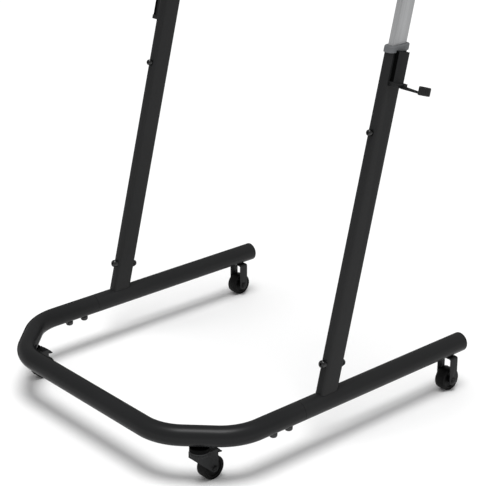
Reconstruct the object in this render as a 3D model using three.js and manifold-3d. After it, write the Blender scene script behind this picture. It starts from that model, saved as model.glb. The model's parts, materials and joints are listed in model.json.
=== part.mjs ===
// Rolling stand with two leaning telescopic posts: a U-shaped tube base on four casters,
// two posts whose inner tubes slide up and down together, a hand-released brake on the right
// post, and two head plates tied by a crossbar that carry whatever is bolted on top.
//
// Millimetres, +Z up, +Y towards the open rear of the base. Working frame while building:
// X = 0 is the base's plane of symmetry, Y = 0 the front bar's axis, Z = 0 the floor.
// The whole stand is then moved so that the origin is the centre of its bounding box's base.
import * as THREE from 'three';
import { mergeVertices } from 'three/addons/utils/BufferGeometryUtils.js';
import Module from 'manifold-3d';

const wasm = await Module();
wasm.setup();

// ---- driving dimensions ----
const GAP = 0.3; // clearance left between pieces that touch
const DEG = Math.PI / 180;
const SIDES = [['left', -1], ['right', 1]];

// round base tube
const TUBE_R = 22.5;
const TUBE_WALL = 2;
const TUBE_FACETS = 20;
const RAIL_X = 369.9; // axis of each side rail, from the plane of symmetry
const TUBE_Z = 108.2; // height of the base tube's axis
const CHAMFER = 120.5; // how far each front corner is cut back, along X and along Y
const BEND_R = 120; // centreline radius of the bends
const BEND_STEPS = 4;
const SEAM_Y = 287.4; // where the front tube meets the rails
const RAIL_END_Y = 807.6;
const CAP_FLANGE = 2.5;
const CAP_PLUG = 16;
const SPIGOT_R = TUBE_R - TUBE_WALL - GAP;
const SPIGOT_FRONT = 95; // spigot length in front of the seam
const SPIGOT_BACK = 60; // and behind it
const JOINT_BOLT_Y = [212.6, 256.8];

// fasteners
const BOLT_R = 4;
const BOLT_HEAD = [9, 11]; // radius and height
const NUT_R = 9; // across its corners
const SCREW_HEAD = [7, 10.5];
const AXLE_HEAD_H = 4.2;
const HEX_AF = 5;
const HEX_DEPTH = 2.4;
const SCREW_R = 2;
const HOLE_CLEAR = 0.3;

// leaning posts
const POST_Y = 363.1; // where the post's axis meets the rail's axis
const LEAN = 14.03 * DEG;
const POST_X = 25;
const POST_D = 50;
const POST_CORNER = 8.5;
const POST_WALL = 2;
const COLLAR_LOW_Z = 855.7; // the post's level top edge, on which the collar sits
const COLLAR_TOP_Z = 869.6;
const COLLAR_OVERHANG = 3;
const COLLAR_SKIRT = 26;
const STUB_TOP = 130; // distances below are along the post, from the rail's axis
const LOWER_BOLT = 85;
const GUIDE_SCREW = 594;
const BUSH_LENGTH = 40;

// inner tubes, drawn at the carriage's rest height
const INNER_X = 16;
const INNER_D = 40;
const INNER_CORNER = 2.5;
const INNER_WALL = 1.5;
const INNER_BOTTOM = 365;
const GLIDE_FLANGE = 8;
const GLIDE_PLUG = 22;
const SLIDE_CLEAR = 0.4;

// head: plates and crossbar
const HEAD_Z = 1080; // top face of the head plates
const PLATE_T = 4;
const PLATE_OUT = 22; // reach of the plate outboard of the tube's axis
const PLATE_IN = 62; // and inboard of it
const PLATE_Y = 160;
const PLATE_CORNER = 10;
const PLATE_HOLE_R = 3.5;
const PLATE_HOLES = [[12, 65], [-50, 65]]; // outboard offset, fore-and-aft offset (both ways)
const CROSS_Y = 50;
const CROSS_Z = 25;
const CROSS_WALL = 2;
const CROSS_END_IN = 20; // end of the bar, inboard of the tube's axis, clear of the collar
const CROSS_BOLT_IN = 35; // its bolts
const CROSS_BOLT_Y = 13;
const CROSS_BOLT_R = 3;

// brake housing on the outboard face of each post
const HOUSING_LOW = 702;
const HOUSING_TOP = 772;
const HOUSING_FRONT = -14.5;
const HOUSING_REAR = 16.5;
const HOUSING_OUT = { left: 36.5, right: 25.5 }; // outer face, from the post's axis
const HOUSING_WALL = 1.5;
const LEDGE_FRONT = -16;
const LEDGE_LOW = 697.5;
const LEDGE_TOP = 707;
const LEDGE_OUT = 36.5; // from the post's axis
const SHOE_S = 736;
const LEVER_Y = 1.85;
const LEVER_T = 3;
const PIVOT_X = 27;
const PIVOT_S = 701;
const PIVOT_R = 1.5;

// casters
const WHEEL_R = 27;
const WHEEL_HALF = 12.8;
const WHEEL_Z = WHEEL_R;
const SWIVEL_X = RAIL_X - CHAMFER / 2;
const SWIVEL_Y = CHAMFER / 2;
const TRAIL = 28.8; // swivel axis to axle, rearwards
const RACE_R = 22;
const RACE_H = 13.5;
const CUP_R = 21.5; // the fork's round top, under the race
const CUP_H = 2.5;
const KINGPIN_R = 5;
const PEDAL_PIN = [74, 43.5]; // from the front bar's axis, and down from the tube's axis
const PEDAL_PIN_R = 2;
const FORK_T = 2.5;
const FRONT_FORK_HALF = 15.8;
const FORK_FRONT = -TRAIL - 17; // its front wall, from the axle
const REAR_AXLE_Y = 764.5;
const REAR_FORK_Y = 765;
const REAR_FORK_HALF = 20.5;
const REAR_FORK_W = 24;

// ---- solids ----
function solidOf(geometry) {
  const bare = new THREE.BufferGeometry();
  const source = geometry.index ? geometry.toNonIndexed() : geometry;
  bare.setAttribute('position', source.getAttribute('position'));
  const merged = mergeVertices(bare, 1e-4);
  return new wasm.Manifold(new wasm.Mesh({
    numProp: 3,
    vertProperties: new Float32Array(merged.attributes.position.array),
    triVerts: new Uint32Array(merged.index.array),
  }));
}

function geometryOf(solid) {
  const made = solid.getMesh();
  const geometry = new THREE.BufferGeometry();
  geometry.setAttribute('position', new THREE.BufferAttribute(made.vertProperties, 3));
  geometry.setIndex(new THREE.BufferAttribute(made.triVerts, 1));
  geometry.computeVertexNormals();
  return geometry;
}

function cut(geometry, ...tools) {
  const solid = tools.reduce((rest, tool) => rest.subtract(solidOf(tool)), solidOf(geometry));
  return geometryOf(solid);
}

function join(geometry, ...others) {
  const solid = others.reduce((sum, other) => sum.add(solidOf(other)), solidOf(geometry));
  return geometryOf(solid);
}

// ---- outlines and primitive forms ----
function polygon(points) {
  return new THREE.Shape(points.map(([x, y]) => new THREE.Vector2(x, y)));
}

// Rounded rectangle centred on the origin, as a list of points.
function roundedRect(width, height, radius, steps = 3) {
  const points = [];
  const corners = [[1, 1, 0], [-1, 1, 90], [-1, -1, 180], [1, -1, 270]];
  for (const [sx, sy, start] of corners) {
    for (let i = 0; i <= steps; i++) {
      const a = (start + (90 * i) / steps) * DEG;
      const x = sx * (width / 2 - radius) + radius * Math.cos(a);
      const y = sy * (height / 2 - radius) + radius * Math.sin(a);
      points.push([x, y]);
    }
  }
  return points;
}

function circlePoints(radius, sides) {
  const turn = (i) => ((i + 0.5) / sides) * 2 * Math.PI;
  return Array.from({ length: sides }, (_, i) => [radius * Math.cos(turn(i)), radius * Math.sin(turn(i))]);
}

function ring(outer, inner) {
  const shape = polygon(outer);
  shape.holes.push(new THREE.Path(inner.map(([x, y]) => new THREE.Vector2(x, y))));
  return shape;
}

// A prism along local Z between two heights.
function prism(shape, low, high) {
  return new THREE.ExtrudeGeometry(shape, { depth: high - low, bevelEnabled: false }).translate(0, 0, low);
}

// A prism along X or Y: the outline's own plane is (Y, Z) or (X, Z).
function prismAlongX(shape, low, high) {
  return prism(shape, low, high).rotateY(90 * DEG).rotateX(90 * DEG);
}

function prismAlongY(shape, low, high) {
  return prism(shape, -high, -low).rotateX(90 * DEG);
}

function box(x0, x1, y0, y1, z0, z1) {
  const size = new THREE.BoxGeometry(x1 - x0, y1 - y0, z1 - z0);
  return size.translate((x0 + x1) / 2, (y0 + y1) / 2, (z0 + z1) / 2);
}

// A box given by its distances outboard of a post's axis: +X on the right, -X on the left.
function outboardBox(sign, x0, x1, y0, y1, z0, z1) {
  return sign > 0 ? box(x0, x1, y0, y1, z0, z1) : box(-x1, -x0, y0, y1, z0, z1);
}

// A turned piece: [radius, height] points from the axis back to the axis, standing on Z.
function turned(profile, sides) {
  const points = profile.map(([r, h]) => new THREE.Vector2(r, h));
  return new THREE.LatheGeometry(points, sides, Math.PI / sides).rotateX(90 * DEG);
}

function rod(radius, low, high, sides = 12) {
  return turned([[0, low], [radius, low], [radius, high], [0, high]], sides);
}

// A path of straight stretches and bends that puts its rings only where the tube needs them.
class StationPath extends THREE.Curve {
  constructor(stations) {
    super();
    this.stations = stations;
  }

  station(u) {
    return this.stations[Math.round(u * (this.stations.length - 1))];
  }

  getPoint(t) {
    return this.station(t).point.clone();
  }

  getPointAt(u) {
    return this.station(u).point.clone();
  }

  getTangentAt(u, target = new THREE.Vector3()) {
    return target.copy(this.station(u).tangent);
  }
}

// Stations of a level tube through corner points, each corner rounded to BEND_R.
function bentStations(corners) {
  const stations = [];
  const flat = corners.map(([x, y]) => new THREE.Vector3(x, y, TUBE_Z));
  const direction = (i) => flat[i + 1].clone().sub(flat[i]).normalize();
  stations.push({ point: flat[0], tangent: direction(0) });
  for (let i = 1; i < flat.length - 1; i++) {
    const before = direction(i - 1);
    const after = direction(i);
    const turn = before.angleTo(after);
    const start = flat[i].clone().addScaledVector(before, -BEND_R * Math.tan(turn / 2));
    const way = Math.sign(before.x * after.y - before.y * after.x);
    const inward = new THREE.Vector3(-before.y * way, before.x * way, 0);
    const centre = start.clone().addScaledVector(inward, BEND_R);
    for (let k = 0; k <= BEND_STEPS; k++) {
      const a = (turn * k) / BEND_STEPS;
      const point = centre.clone().addScaledVector(inward, -BEND_R * Math.cos(a));
      point.addScaledVector(before, BEND_R * Math.sin(a));
      const tangent = before.clone().multiplyScalar(Math.cos(a)).addScaledVector(inward, Math.sin(a));
      stations.push({ point, tangent });
    }
  }
  stations.push({ point: flat.at(-1), tangent: direction(flat.length - 2) });
  return stations;
}

function sweep(shape, stations) {
  const path = new StationPath(stations);
  return new THREE.ExtrudeGeometry(shape, { extrudePath: path, steps: stations.length - 1 });
}

// ---- fasteners, each with its head's underside at height 0 and its shank below ----
function buttonHead([headR, headH], shankR, shankL, hexAf) {
  const dome = [[headR, 0], [headR, headH * 0.6], [headR * 0.86, headH * 0.86], [headR * 0.6, headH]];
  const body = turned([[0, -shankL], [shankR, -shankL], [shankR, 0], ...dome, [0, headH]], 12);
  const hexagon = circlePoints(hexAf / 2 / Math.cos(30 * DEG), 6);
  return cut(body, prism(polygon(hexagon), headH - HEX_DEPTH, headH + 1));
}

function domeNut(boreR, boreDepth) {
  const hexagon = prism(polygon(circlePoints(NUT_R, 6)), 0, 6.5);
  const domeProfile = [[0, 0], [7.2, 0], [7.2, 7.8], [5.2, 10.4], [0, 11.6]];
  return cut(join(hexagon, turned(domeProfile, 12)), rod(boreR, -1, boreDepth));
}

// ---- materials ----
const FINISHES = {
  powder_coat: [0x2b2c2e, 0.55, 0.1],
  brushed_tube: [0x9c9ea0, 0.35, 0.9],
  grey_plastic: [0x5f6467, 0.6, 0],
  black_plastic: [0x202124, 0.6, 0],
  black_steel: [0x1c1d1f, 0.45, 0.6],
  wheel_black: [0x1b1c1d, 0.5, 0],
  zinc: [0x8b8e90, 0.4, 0.8],
};

function material(finish) {
  const [color, roughness, metalness] = FINISHES[finish];
  return new THREE.MeshStandardMaterial({ color, roughness, metalness });
}

function mesh(parent, name, finish, geometry) {
  const made = new THREE.Mesh(geometry, material(finish));
  made.name = name;
  parent.add(made);
  return made;
}

// ---- base ----
function roundTube(radius, wall, low, high) {
  const outline = ring(circlePoints(radius, TUBE_FACETS), circlePoints(radius - wall, TUBE_FACETS));
  return prismAlongY(outline, low, high);
}

function frontTube() {
  const end = SEAM_Y - GAP / 2;
  const corner = RAIL_X - CHAMFER;
  const outer = [[-RAIL_X, end], [-RAIL_X, CHAMFER], [-corner, 0], [corner, 0], [RAIL_X, CHAMFER], [RAIL_X, end]];
  const section = ring(circlePoints(TUBE_R, TUBE_FACETS), circlePoints(TUBE_R - TUBE_WALL, TUBE_FACETS));
  const tools = [];
  for (const [, side] of SIDES) {
    for (const y of JOINT_BOLT_Y) {
      tools.push(rod(BOLT_R + HOLE_CLEAR, TUBE_Z - 30, TUBE_Z - 10).translate(side * RAIL_X, y, 0));
    }
    const stem = rod(KINGPIN_R + HOLE_CLEAR, TUBE_Z - 30, TUBE_Z - 10);
    tools.push(stem.translate(side * SWIVEL_X, SWIVEL_Y, 0));
  }
  return cut(sweep(section, bentStations(outer)), ...tools);
}

function buildBase(root) {
  mesh(root, 'front_tube', 'powder_coat', frontTube());
  for (const [side, sign] of SIDES) {
    const rail = new THREE.Group();
    rail.position.set(sign * RAIL_X, 0, TUBE_Z);
    root.add(rail);
    const railEnd = RAIL_END_Y - CAP_FLANGE - GAP;
    mesh(rail, `side_rail_${side}`, 'powder_coat', roundTube(TUBE_R, TUBE_WALL, SEAM_Y + GAP / 2, railEnd));
    const holes = JOINT_BOLT_Y.map((y) => rod(BOLT_R + HOLE_CLEAR, -30, -10).translate(0, y, 0));
    const spigot = roundTube(SPIGOT_R, TUBE_WALL, SEAM_Y - SPIGOT_FRONT, SEAM_Y + SPIGOT_BACK);
    mesh(rail, `rail_spigot_${side}`, 'powder_coat', cut(spigot, ...holes));
    JOINT_BOLT_Y.forEach((y, i) => {
      const bolt = buttonHead(BOLT_HEAD, BOLT_R, 9, HEX_AF).rotateX(180 * DEG);
      const under = -TUBE_R - GAP;
      mesh(rail, `joint_bolt_${side}_${i + 1}`, 'black_steel', bolt).position.set(0, y, under);
    });
    const plugR = TUBE_R - TUBE_WALL - GAP;
    const inside = CAP_FLANGE + GAP;
    const cap = turned([[0, 0], [TUBE_R - 1, 0], [TUBE_R, 1], [TUBE_R, CAP_FLANGE], [plugR, CAP_FLANGE],
      [plugR - 0.4, inside + CAP_PLUG], [plugR - 3, inside + CAP_PLUG], [plugR - 3, inside], [0, inside]], TUBE_FACETS);
    mesh(rail, `rail_cap_${side}`, 'black_plastic', cap.rotateX(90 * DEG)).position.set(0, RAIL_END_Y, 0);
  }
}

// ---- posts, in a frame whose Z runs up the post and whose Y points rearwards ----
function postFrame(root, sign) {
  const frame = new THREE.Group();
  frame.position.set(sign * RAIL_X, POST_Y, TUBE_Z);
  frame.rotation.x = -LEAN;
  root.add(frame);
  return frame;
}

function rectTube(width, depth, corner, wall, low, high) {
  const outer = roundedRect(width, depth, corner);
  return prism(ring(outer, roundedRect(width - 2 * wall, depth - 2 * wall, Math.max(corner - wall, 0.8))), low, high);
}

// Everything above a level plane at world height z, as a cutting block in the post's frame.
function above(z) {
  const block = box(-80, 80, -300, 300, 0, 200).rotateX(LEAN);
  return block.translate(0, 0, (z - TUBE_Z) / Math.cos(LEAN));
}

// The rail's own body, as a cutting rod in the post's frame.
function railCutter() {
  const solid = prismAlongY(polygon(circlePoints(TUBE_R + GAP, 48)), -120, 120);
  return solid.rotateX(LEAN);
}

function crossHole(radius, s, y0, y1) {
  return rod(radius, y0, y1).rotateX(-90 * DEG).translate(0, 0, s);
}

function outerPost(sign) {
  const wallIn = POST_X / 2 - POST_WALL - 1;
  const window = outboardBox(sign, wallIn, POST_X / 2 + 1, LEVER_Y - 7, LEVER_Y + 7, SHOE_S - 8, SHOE_S + 8);
  return cut(
    rectTube(POST_X, POST_D, POST_CORNER, POST_WALL, 0, 800),
    railCutter(),
    above(COLLAR_LOW_Z),
    crossHole(BOLT_R + HOLE_CLEAR, LOWER_BOLT, -30, 30),
    crossHole(SCREW_R + HOLE_CLEAR, GUIDE_SCREW, -30, -20),
    window,
  );
}

function buildPost(frame, side, sign) {
  const cavityX = POST_X - 2 * POST_WALL - 2 * GAP;
  const cavityD = POST_D - 2 * POST_WALL - 2 * GAP;
  const cavityCorner = POST_CORNER - POST_WALL - GAP;
  mesh(frame, `outer_post_${side}`, 'powder_coat', outerPost(sign));

  const stub = rectTube(cavityX, cavityD, cavityCorner, POST_WALL, 0, STUB_TOP);
  const stubHole = crossHole(BOLT_R + HOLE_CLEAR, LOWER_BOLT, -30, 30);
  mesh(frame, `post_stub_${side}`, 'black_steel', cut(stub, railCutter(), stubHole));

  const face = POST_D / 2 + GAP;
  const bolt = buttonHead(BOLT_HEAD, BOLT_R, 2 * face + 5, HEX_AF).rotateX(90 * DEG);
  mesh(frame, `post_bolt_${side}`, 'black_steel', bolt).position.set(0, -face, LOWER_BOLT);
  const nut = domeNut(BOLT_R + HOLE_CLEAR, 5.5).rotateX(-90 * DEG);
  mesh(frame, `post_nut_${side}`, 'black_steel', nut).position.set(0, face, LOWER_BOLT);

  const openX = INNER_X + 2 * SLIDE_CLEAR;
  const openD = INNER_D + 2 * SLIDE_CLEAR;
  const opening = roundedRect(openX, openD, INNER_CORNER + SLIDE_CLEAR);
  const sleeve = ring(roundedRect(cavityX, cavityD, cavityCorner), opening);
  const bush = prism(sleeve, GUIDE_SCREW - BUSH_LENGTH / 2, GUIDE_SCREW + BUSH_LENGTH / 2);
  const bushHole = crossHole(SCREW_R + HOLE_CLEAR, GUIDE_SCREW, -30, -18);
  mesh(frame, `guide_bush_${side}`, 'black_plastic', cut(bush, bushHole));
  const screw = buttonHead(SCREW_HEAD, SCREW_R, 4.2, 3).rotateX(90 * DEG);
  mesh(frame, `guide_screw_${side}`, 'black_steel', screw).position.set(0, -face, GUIDE_SCREW);

  mesh(frame, `collar_${side}`, 'grey_plastic', collar(sign, sleeve, opening));
}

// The collar is level, like the post's top edge: a flange over the post and a skirt inside it.
function collar(sign, sleeve, opening) {
  const grow = 2 * COLLAR_OVERHANG;
  const rim = roundedRect(POST_X + grow, POST_D + grow, POST_CORNER + COLLAR_OVERHANG);
  const flange = cut(prism(ring(rim, opening), 730, 800), above(COLLAR_TOP_Z), below(COLLAR_LOW_Z + GAP));
  const lowest = (COLLAR_LOW_Z - TUBE_Z) / Math.cos(LEAN) - COLLAR_SKIRT;
  const skirt = cut(prism(sleeve, lowest, 790), above(COLLAR_LOW_Z + 2));
  const outboard = POST_X / 2 + GAP;
  const housed = [HOUSING_FRONT - GAP, HOUSING_REAR + GAP];
  const notch = outboardBox(sign, outboard, outboard + 20, ...housed, 700, HOUSING_TOP + GAP);
  return cut(join(flange, skirt), notch);
}

function below(z) {
  const block = box(-80, 80, -300, 300, -200, 0).rotateX(LEAN);
  return block.translate(0, 0, (z - TUBE_Z) / Math.cos(LEAN));
}

// ---- carriage: inner tubes, glides, head plates and crossbar ----
function buildInnerTube(frame, side) {
  const tube = rectTube(INNER_X, INNER_D, INNER_CORNER, INNER_WALL, INNER_BOTTOM, 1060);
  mesh(frame, `inner_tube_${side}`, 'brushed_tube', cut(tube, above(HEAD_Z - PLATE_T - GAP)));
  const outerX = POST_X - 2 * POST_WALL - 2 * SLIDE_CLEAR;
  const outerD = POST_D - 2 * POST_WALL - 2 * SLIDE_CLEAR;
  const foot = prism(polygon(roundedRect(outerX, outerD, POST_CORNER - POST_WALL - SLIDE_CLEAR)),
    INNER_BOTTOM - GAP - GLIDE_FLANGE, INNER_BOTTOM - GAP);
  const plugX = INNER_X - 2 * INNER_WALL - 2 * GAP;
  const plugD = INNER_D - 2 * INNER_WALL - 2 * GAP;
  const plug = prism(polygon(roundedRect(plugX, plugD, 1)), INNER_BOTTOM - 2, INNER_BOTTOM + GLIDE_PLUG);
  mesh(frame, `glide_${side}`, 'black_plastic', join(foot, plug));
}

function headCentreY() {
  return POST_Y + (HEAD_Z - PLATE_T - TUBE_Z) * Math.tan(LEAN);
}

function buildHead(root) {
  const crossTop = HEAD_Z - PLATE_T - GAP;
  const crossLow = crossTop - CROSS_Z;
  const y = headCentreY();
  const end = RAIL_X - CROSS_END_IN;
  const holeR = CROSS_BOLT_R + HOLE_CLEAR;
  const boltX = RAIL_X - CROSS_BOLT_IN;
  const crossHoles = [];
  for (const [side, sign] of SIDES) {
    const outline = roundedRect(PLATE_OUT + PLATE_IN, PLATE_Y, PLATE_CORNER);
    const shift = (PLATE_OUT - PLATE_IN) / 2;
    const plate = prism(polygon(outline), 0, PLATE_T).translate(sign * shift, 0, 0);
    const holes = [];
    for (const [outboard, along] of PLATE_HOLES) {
      for (const way of [-1, 1]) {
        holes.push(rod(PLATE_HOLE_R, -1, PLATE_T + 1).translate(sign * outboard, way * along, 0));
      }
    }
    [-CROSS_BOLT_Y, CROSS_BOLT_Y].forEach((offset, i) => {
      holes.push(rod(holeR, -1, PLATE_T + 1).translate(-sign * CROSS_BOLT_IN, offset, 0));
      crossHoles.push(rod(holeR, crossLow - 1, crossTop + 1).translate(sign * boltX, y + offset, 0));
      const bolt = buttonHead([5.2, 3.4], CROSS_BOLT_R, CROSS_Z + PLATE_T + GAP, 4).rotateX(180 * DEG);
      const head = mesh(root, `crossbar_bolt_${side}_${i + 1}`, 'black_steel', bolt);
      head.position.set(sign * boltX, y + offset, crossLow - GAP);
    });
    const placed = mesh(root, `head_plate_${side}`, 'powder_coat', cut(plate, ...holes));
    placed.position.set(sign * RAIL_X, y, HEAD_Z - PLATE_T);
  }
  const outer = roundedRect(CROSS_Y, CROSS_Z, 3);
  const inner = roundedRect(CROSS_Y - 2 * CROSS_WALL, CROSS_Z - 2 * CROSS_WALL, 1);
  const bar = prismAlongX(ring(outer, inner), -end, end).translate(0, y, (crossLow + crossTop) / 2);
  mesh(root, 'crossbar', 'powder_coat', cut(bar, ...crossHoles));
}

// ---- brake on the outboard face of each post ----
function housing(side, sign) {
  const near = POST_X / 2 + GAP;
  const far = HOUSING_OUT[side];
  const wall = HOUSING_WALL;
  const shell = cut(
    outboardBox(sign, near, far, HOUSING_FRONT, HOUSING_REAR, HOUSING_LOW, HOUSING_TOP),
    outboardBox(sign, near - 1, far - wall, HOUSING_FRONT + wall, HOUSING_REAR - wall,
      LEDGE_TOP + wall, HOUSING_TOP - wall),
  );
  const ledge = outboardBox(sign, near, LEDGE_OUT, LEDGE_FRONT, HOUSING_REAR, LEDGE_LOW, LEDGE_TOP);
  const body = join(shell, ledge);
  if (sign < 0) return body;
  const half = LEVER_T / 2 + 0.4;
  const slot = box(near - 1, LEDGE_OUT + 1, LEVER_Y - half, LEVER_Y + half, LEDGE_LOW - 1, LEDGE_TOP - 1.2);
  const rootSlot = box(near - 1, far - wall, LEVER_Y - half, LEVER_Y + half, LEDGE_LOW - 1, LEDGE_TOP + wall + 1);
  const springBay = box(PIVOT_X - 4.2, PIVOT_X + 4.2, LEVER_Y + 3.4, LEVER_Y + 11, LEDGE_LOW - 1, LEDGE_TOP - 2.5);
  const pin = rod(PIVOT_R + HOLE_CLEAR, -40, 40).rotateX(-90 * DEG).translate(PIVOT_X, 0, PIVOT_S);
  return cut(body, slot, rootSlot, springBay, pin);
}

// One stamped plate: root on the pivot, a finger up to the shoe, and an arm out to the paddle.
function lever() {
  const outline = polygon([
    [13.6, 698], [36, 696], [79, 696.2], [82, 695.6], [108.2, 697.4], [109.5, 698.9], [109.3, 711.8],
    [107.9, 712.9], [82.2, 711.4], [80.8, 710.3], [80.3, 701.2], [55, 702.4], [36, 703.6], [17.6, 706],
    [15.8, 711], [14.5, 730], [14.5, 737.5], [12.9, 737.5], [12.9, 712],
  ]);
  const pin = rod(PIVOT_R + HOLE_CLEAR, -20, 20).rotateX(-90 * DEG).translate(PIVOT_X, 0, PIVOT_S);
  return cut(prismAlongY(outline, -LEVER_T / 2, LEVER_T / 2), pin).translate(0, LEVER_Y, 0);
}

// Soft grip moulded over the paddle: a pad with a pocket for the plate's end.
function leverGrip() {
  const pad = [[81.2, 694.8], [83, 693.9], [108.8, 695.7], [110.3, 697.4], [110.4, 712.4], [108.8, 714],
    [82.6, 712.6], [81.2, 711.4]];
  const pocket = [[70, 695.3], [82, 695.3], [108.4, 697.1], [109.8, 698.7], [109.6, 712], [108.1, 713.2],
    [82.1, 711.8], [70, 711.8]];
  const grip = prismAlongY(polygon(pad), -3, 3);
  return cut(grip, prismAlongY(polygon(pocket), -LEVER_T / 2 - GAP, LEVER_T / 2 + GAP)).translate(0, LEVER_Y, 0);
}

// Brake shoe: a pad against the inner tube, and a block whose pocket holds the lever's finger.
function brakeShoe(sign, pocketed) {
  const y = LEVER_Y;
  const tube = INNER_X / 2;
  const pad = outboardBox(sign, tube + GAP, tube + 3.6, y - 6, y + 6, SHOE_S - 7, SHOE_S + 7);
  const block = outboardBox(sign, tube + 3, 16.4, y - 5, y + 5, SHOE_S - 6, SHOE_S + 6);
  const body = join(pad, block);
  return pocketed ? cut(body, box(12.3, 15.1, y - 2, y + 2, SHOE_S - 7, SHOE_S + 4.2)) : body;
}

function leverSpring() {
  const turns = 4;
  const radius = 2.6;
  const pitch = 1.5;
  class Helix extends THREE.Curve {
    getPoint(t) {
      const a = 2 * Math.PI * turns * t;
      return new THREE.Vector3(radius * Math.cos(a), (t - 0.5) * turns * pitch, radius * Math.sin(a));
    }
  }
  const wire = polygon(circlePoints(0.4, 6));
  return new THREE.ExtrudeGeometry(wire, { extrudePath: new Helix(), steps: 9 * turns });
}

function buildBrake(frame, side, sign) {
  mesh(frame, `brake_housing_${side}`, 'powder_coat', housing(side, sign));
  if (sign < 0) {
    mesh(frame, 'guide_pad_left', 'grey_plastic', brakeShoe(sign, false));
    return;
  }
  mesh(frame, 'brake_shoe_right', 'grey_plastic', brakeShoe(sign, true));
  mesh(frame, 'release_lever', 'black_steel', lever());
  mesh(frame, 'lever_grip', 'black_plastic', leverGrip());
  const pinLength = [HOUSING_FRONT + 1, HOUSING_REAR - 1];
  const pin = rod(PIVOT_R, ...pinLength).rotateX(-90 * DEG);
  mesh(frame, 'lever_pin', 'zinc', pin).position.set(PIVOT_X, 0, PIVOT_S);
  mesh(frame, 'lever_spring', 'zinc', leverSpring()).position.set(PIVOT_X, LEVER_Y + 7.2, PIVOT_S);
}

// ---- casters ----
function wheel(hubHalf) {
  const r = WHEEL_R;
  const w = WHEEL_HALF;
  const half = [[BOLT_R + HOLE_CLEAR, hubHalf], [8, hubHalf], [9, w - 3], [r - 8, w - 3], [r - 6, w], [r - 1.5, w], [r, w - 1.5]];
  const other = half.map(([radius, x]) => [radius, -x]).reverse();
  const closed = [...half, ...other, half[0]];
  return turned(closed.reverse(), 20).rotateY(90 * DEG);
}

function axle(half) {
  const head = half + GAP + AXLE_HEAD_H;
  const shoulder = half + GAP;
  const profile = [[0, -head], [4.5, -head], [6.2, -head + 1.6], [6.2, -shoulder], [BOLT_R, -shoulder],
    [BOLT_R, shoulder], [6.2, shoulder], [6.2, head - 1.6], [4.5, head], [0, head]];
  return turned(profile, 12).rotateY(90 * DEG);
}

function buildRearCaster(root, side, sign) {
  const caster = new THREE.Group();
  caster.position.set(sign * RAIL_X, REAR_AXLE_Y, WHEEL_Z);
  root.add(caster);
  const top = TUBE_Z - TUBE_R - GAP - WHEEL_Z;
  const offset = REAR_FORK_Y - REAR_AXLE_Y;
  const halfW = REAR_FORK_W / 2;
  const round = [];
  for (let i = 0; i <= 6; i++) {
    const a = (180 + (180 * i) / 6) * DEG;
    round.push([offset + halfW * Math.cos(a), halfW * Math.sin(a)]);
  }
  const leg = polygon([...round, [offset + halfW, top], [offset - halfW, top]]);
  const fork = cut(
    prismAlongX(leg, -REAR_FORK_HALF, REAR_FORK_HALF),
    box(-REAR_FORK_HALF + FORK_T, REAR_FORK_HALF - FORK_T, -60, 60, -40, top - FORK_T),
    rod(BOLT_R + HOLE_CLEAR, -40, 40).rotateY(90 * DEG),
  );
  mesh(caster, `rear_fork_${side}`, 'black_steel', fork);
  mesh(caster, `rear_axle_${side}`, 'black_steel', axle(REAR_FORK_HALF));
  mesh(caster, `rear_wheel_${side}`, 'wheel_black', wheel(REAR_FORK_HALF - FORK_T - 0.5));
}

// Front fork: a round cup under the race, a front wall and two side plates down to the axle.
function frontFork() {
  const top = TUBE_Z - TUBE_R - GAP - RACE_H - GAP - WHEEL_Z;
  const half = FRONT_FORK_HALF;
  const round = [];
  for (let i = 0; i <= 6; i++) {
    const a = (222 + (138 * i) / 6) * DEG;
    round.push([9.2 * Math.cos(a), 9.2 * Math.sin(a)]);
  }
  const low = top - CUP_H;
  const plate = polygon([...round, [9.2, top - 1], [FORK_FRONT, top - 1], [FORK_FRONT, top - 15]]);
  const channel = cut(
    prismAlongX(plate, -half, half),
    box(-half + FORK_T, half - FORK_T, FORK_FRONT + FORK_T, 60, -40, low),
    box(-half + FORK_T, half - FORK_T, CUP_R - TRAIL, 60, -40, top),
    rod(BOLT_R + HOLE_CLEAR, -40, 40).rotateY(90 * DEG),
  );
  const cup = turned([[0, low], [CUP_R - 1, low], [CUP_R, low + 1], [CUP_R, top], [0, top]], 20);
  const [pinY, pinDown] = PEDAL_PIN;
  const pin = rod(PEDAL_PIN_R, -half - 1.2, half + 1.2, 12).rotateY(90 * DEG);
  pin.translate(0, pinY - TRAIL - SWIVEL_Y, TUBE_Z - WHEEL_Z - pinDown);
  const kingHole = rod(KINGPIN_R + HOLE_CLEAR, top - 20, top + 5).translate(0, -TRAIL, 0);
  return cut(join(channel, cup.translate(0, -TRAIL, 0), pin), kingHole);
}

// Race: the fixed disc under the tube, with its stem up into the tube and its kingpin below.
function swivelRace() {
  const pin = KINGPIN_R;
  const under = -RACE_H - CUP_H - 2 * GAP;
  const profile = [[0, under - 2.5], [5.5, under - 2.5], [6.5, under - 1.5], [6.5, under], [pin, under],
    [pin, -RACE_H], [RACE_R - 1.5, -RACE_H], [RACE_R, -RACE_H + 1.5], [RACE_R, 0], [pin, 0], [pin, 12],
    [0, 12]];
  return turned(profile, 20);
}

function brakePedal() {
  const place = ([rear, low]) => [rear - TRAIL - SWIVEL_Y, TUBE_Z - WHEEL_Z - low];
  const outline = [[70.6, 44], [72, 46.8], [80, 47], [86, 52.4], [95, 52.2], [98, 48.6], [110.6, 50.6],
    [111.6, 48.6], [98, 37.6], [83.4, 37.6], [82.4, 39.8], [73, 40.4], [71, 41.6]].map(place);
  const half = FRONT_FORK_HALF - FORK_T - 0.5;
  const pin = rod(PEDAL_PIN_R + HOLE_CLEAR, -40, 40, 12).rotateY(90 * DEG).translate(0, ...place(PEDAL_PIN));
  return cut(prismAlongX(polygon(outline), -half, half), pin);
}

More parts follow.
